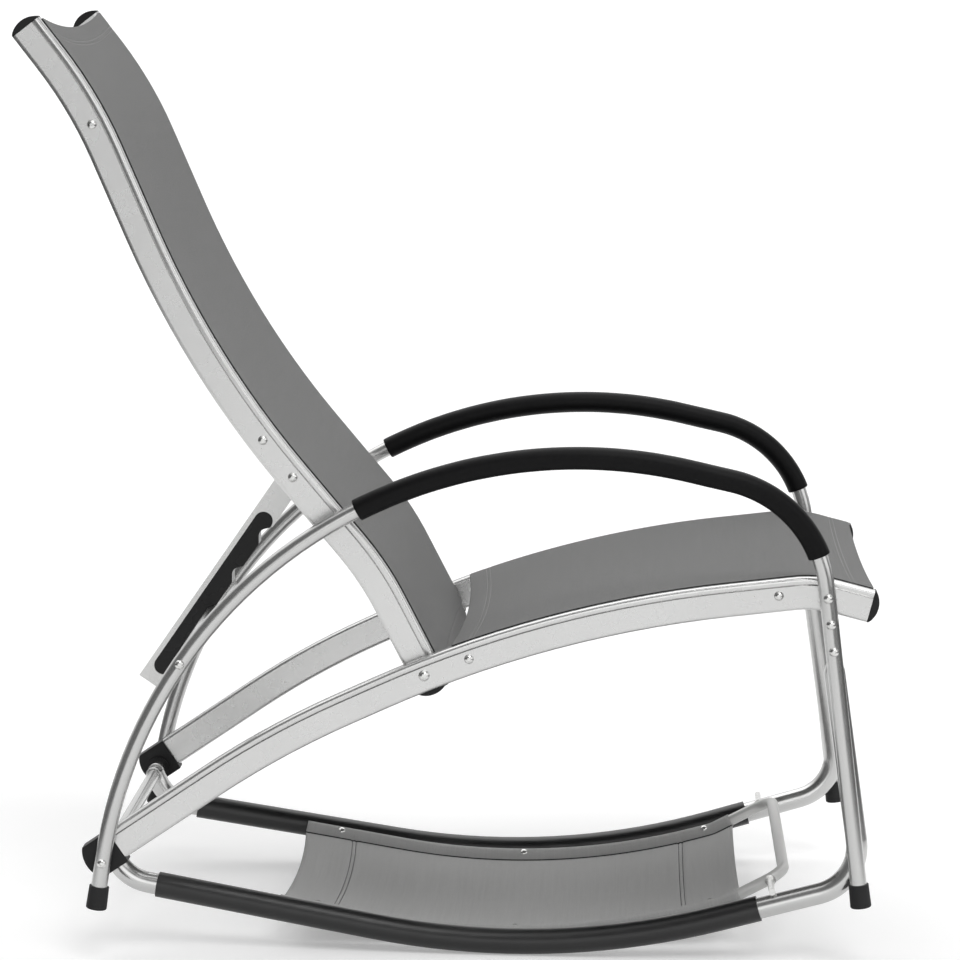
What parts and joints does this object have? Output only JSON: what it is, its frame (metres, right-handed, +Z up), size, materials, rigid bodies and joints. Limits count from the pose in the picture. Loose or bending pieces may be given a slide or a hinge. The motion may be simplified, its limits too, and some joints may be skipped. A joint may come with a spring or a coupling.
{
  "type": "rocking chaise lounge",
  "caption": "Rocking lounge chair with curved aluminium rails, textile slings, bent tube arms with foam grips, sleeved runners, a notched recline strut and a lift-off footrest.",
  "frame": {"origin": "middle of the bounding box on the floor, under the seat", "axes": "+X to the front of the chair, +Y to the sitter's left, +Z up"},
  "size_m": [0.9936, 0.6026, 1.0932],
  "materials": {
    "rail_aluminium": "satin",
    "tube_metal": "satin silver",
    "grip_foam": "matt foam",
    "runner_sleeve": "satin black",
    "black_plastic": "fine matt",
    "sling_textile": "woven mesh",
    "keder_rod": "plain",
    "fastener_steel": "bright",
    "nylon_washer": "plain",
    "rack_plastic": "matt"
  },
  "bodies": {
    "frame": {"seat_rail_right": "rail_aluminium", "seat_rail_cap_right": "black_plastic", "elbow_right": "black_plastic", "arm_tube_right": "tube_metal", "armrest_grip_right": "grip_foam", "front_foot_cap_right": "black_plastic", "rear_foot_cap_right": "black_plastic", "runner_tube_right": "tube_metal", "runner_sleeve_right": "runner_sleeve", "seat_rail_left": "rail_aluminium", "seat_rail_cap_left": "black_plastic", "elbow_left": "black_plastic", "arm_tube_left": "tube_metal", "armrest_grip_left": "grip_foam", "front_foot_cap_left": "black_plastic", "rear_foot_cap_left": "black_plastic", "runner_tube_left": "tube_metal", "runner_sleeve_left": "runner_sleeve", "rear_crossbar": "tube_metal", "seat_crossbar_front": "tube_metal", "seat_crossbar_rear": "tube_metal", "locking_bar": "tube_metal", "crossbar_inserts": "fastener_steel", "seat_sling": "sling_textile", "seat_keder_rods": "keder_rod", "hinge_bolts": "fastener_steel", "hinge_washers": "nylon_washer", "hinge_nuts": "fastener_steel", "arm_seat_bolts": "fastener_steel", "arm_seat_nuts": "fastener_steel", "arm_runner_bolts": "fastener_steel", "arm_runner_nuts": "fastener_steel", "elbow_bolts": "fastener_steel", "seat_crossbar_bolts": "fastener_steel", "locking_bar_bolts": "fastener_steel"},
    "backrest": {"backrest_rail_right": "rail_aluminium", "backrest_top_cap_right": "black_plastic", "backrest_pivot_cap_right": "black_plastic", "backrest_rail_left": "rail_aluminium", "backrest_top_cap_left": "black_plastic", "backrest_pivot_cap_left": "black_plastic", "backrest_crossbar_top": "tube_metal", "backrest_crossbar_middle": "tube_metal", "backrest_crossbar_inserts": "fastener_steel", "strut_pivot_rod": "tube_metal", "backrest_sling": "sling_textile", "backrest_keder_rods": "keder_rod", "backrest_bolts": "fastener_steel", "strut_retaining_clips": "black_plastic"},
    "strut": {"strut_channel": "rail_aluminium", "strut_rack": "rack_plastic", "strut_pivot_bush": "nylon_washer"},
    "footrest": {"footrest_frame": "tube_metal", "footrest_sling": "sling_textile", "footrest_rivets": "fastener_steel", "footrest_pegs": "fastener_steel", "footrest_end_plugs": "black_plastic"}
  },
  "joints": [
    {"name": "backrest_recline", "type": "hinge", "parent": "frame", "child": "backrest", "pos_m": [-0.02609, 0, 0.33723], "axis": [0, -1, 0], "range_deg": [0, 27]},
    {"name": "strut_swing", "type": "hinge", "parent": "backrest", "child": "strut", "pos_m": [-0.17844, 0, 0.56457], "axis": [0, -1, 0], "range_deg": [-43.5, 0]},
    {"name": "footrest_lift", "type": "slide", "parent": "frame", "child": "footrest", "axis": [0, 0, 1], "range_m": [0, 0.15]}
  ],
  "couplings": [
    {"joint": "strut_swing", "follows": "backrest_recline", "ratio": -1.6}
  ]
}
